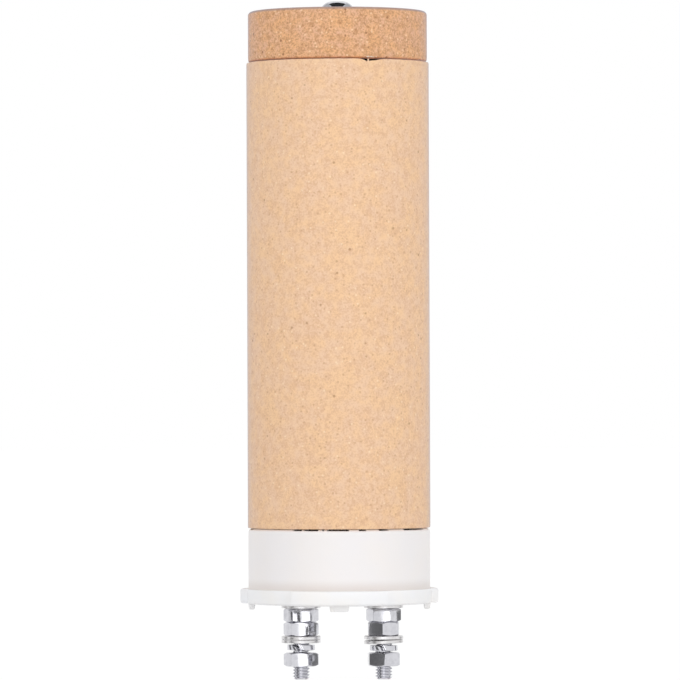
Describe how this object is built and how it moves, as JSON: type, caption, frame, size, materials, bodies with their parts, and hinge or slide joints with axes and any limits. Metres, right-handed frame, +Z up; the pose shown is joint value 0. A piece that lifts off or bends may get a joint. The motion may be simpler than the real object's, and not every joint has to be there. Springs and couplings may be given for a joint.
{
  "type": "ceramic heating element",
  "caption": "Round ceramic heating element for a hot air tool: channelled core with a wound wire, end cap, flanged base and threaded stud terminals with nuts and washers.",
  "frame": {"origin": "centre of the base flange's flat underside, on the core's axis", "axes": "+Z up the core towards the end cap, +X from the left stud to the right one, -Y to the front lug"},
  "size_m": [0.0456, 0.044, 0.1561],
  "materials": {
    "core_ceramic": "matt, fine grain",
    "cap_ceramic": "matt, coarse grain",
    "base_ceramic": "smooth white",
    "plated_steel": "bright plated",
    "satin_steel": "satin plated",
    "resistance_wire": "dull oxidised"
  },
  "bodies": {
    "root": {"heater_core": "core_ceramic", "end_cap": "cap_ceramic", "terminal_base": "base_ceramic", "heating_coil": "resistance_wire", "tie_screw": "plated_steel", "tie_screw_washer": "satin_steel", "tie_screw_nut": "plated_steel", "left_terminal_stud": "plated_steel", "left_inner_washer": "satin_steel", "left_base_washer": "satin_steel", "left_fixing_nut": "plated_steel", "left_lock_nut": "plated_steel", "left_upper_cable_washer": "satin_steel", "left_lower_cable_washer": "satin_steel", "left_spring_washer": "satin_steel", "left_terminal_nut": "plated_steel", "right_terminal_stud": "plated_steel", "right_inner_washer": "satin_steel", "right_base_washer": "satin_steel", "right_fixing_nut": "plated_steel", "right_lock_nut": "plated_steel", "right_upper_cable_washer": "satin_steel", "right_lower_cable_washer": "satin_steel", "right_spring_washer": "satin_steel", "right_terminal_nut": "plated_steel"}
  },
  "joints": []
}
